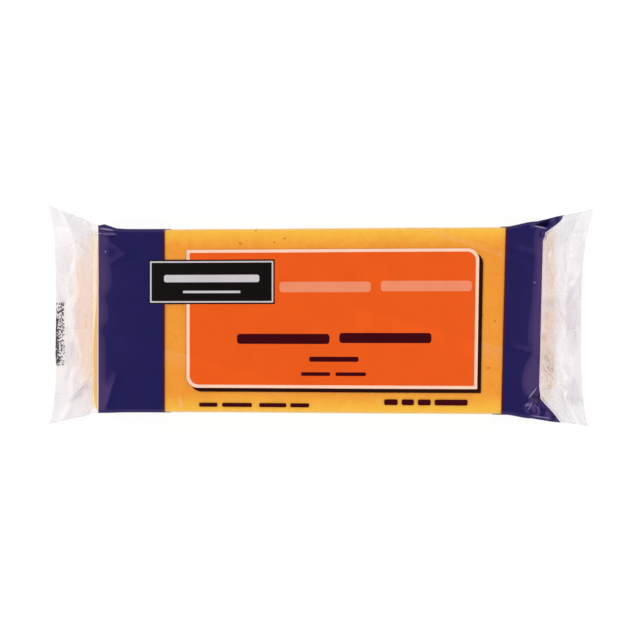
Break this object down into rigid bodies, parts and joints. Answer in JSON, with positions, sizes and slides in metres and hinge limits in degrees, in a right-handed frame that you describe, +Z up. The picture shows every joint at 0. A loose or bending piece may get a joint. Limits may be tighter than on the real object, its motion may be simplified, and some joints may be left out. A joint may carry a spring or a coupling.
{
  "type": "sealed cheddar cheese pack",
  "caption": "Block of orange cheddar sealed in printed clear film, with a flat crimped fin across each end and a lap seam along its back.",
  "frame": {"origin": "on the surface that the pack lies on, under the middle of its outline seen from above, fins included", "axes": "+X along the pack towards the right end of its shown face, +Y across it towards that face's top edge, +Z up out of that face"},
  "size_m": [0.1652, 0.0672, 0.0278],
  "materials": {
    "film": "clear glossy film printed with bands of dark blue and a panel of orange, tight over orange cheddar",
    "cheddar": "smooth cut cheese, faintly marbled, with a slight sheen"
  },
  "bodies": {
    "root": {"sealed_pack": "film"}
  },
  "joints": []
}
